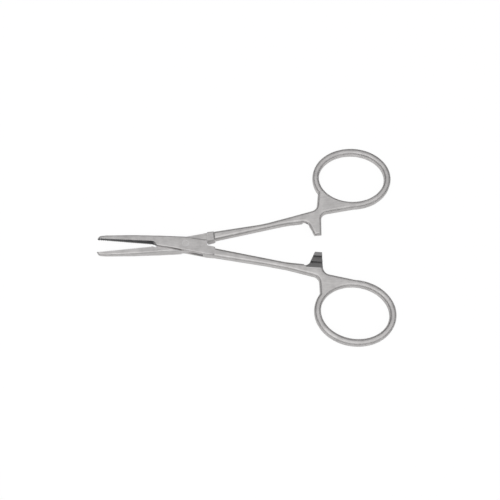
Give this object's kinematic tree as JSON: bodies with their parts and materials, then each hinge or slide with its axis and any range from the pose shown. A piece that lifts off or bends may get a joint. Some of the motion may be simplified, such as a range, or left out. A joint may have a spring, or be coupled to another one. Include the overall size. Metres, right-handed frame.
{
  "type": "hemostat forceps",
  "caption": "Straight ring-handled hemostat with serrated jaws, box lock, flush pivot pin, slim shanks, ratchet tabs and oval finger rings, lying partly open.",
  "frame": {"origin": "pivot axis at the underside of the box lock", "axes": "+Z along the pivot, up from the table; +X from the pivot towards the finger rings; +Y towards the ring of the through half"},
  "size_m": [0.1246, 0.0876, 0.005],
  "materials": {
    "satin_steel": "satin, fine brushed",
    "pin_steel": "ground flush"
  },
  "bodies": {
    "box_side": {"box_half": "satin_steel", "pivot_pin": "pin_steel"},
    "through_side": {"through_half": "satin_steel"}
  },
  "joints": [
    {"name": "box_lock", "type": "hinge", "parent": "box_side", "child": "through_side", "pos_m": [0, 0, 0], "axis": [0, 0, 1], "range_deg": [-8.8, 51.2]}
  ]
}
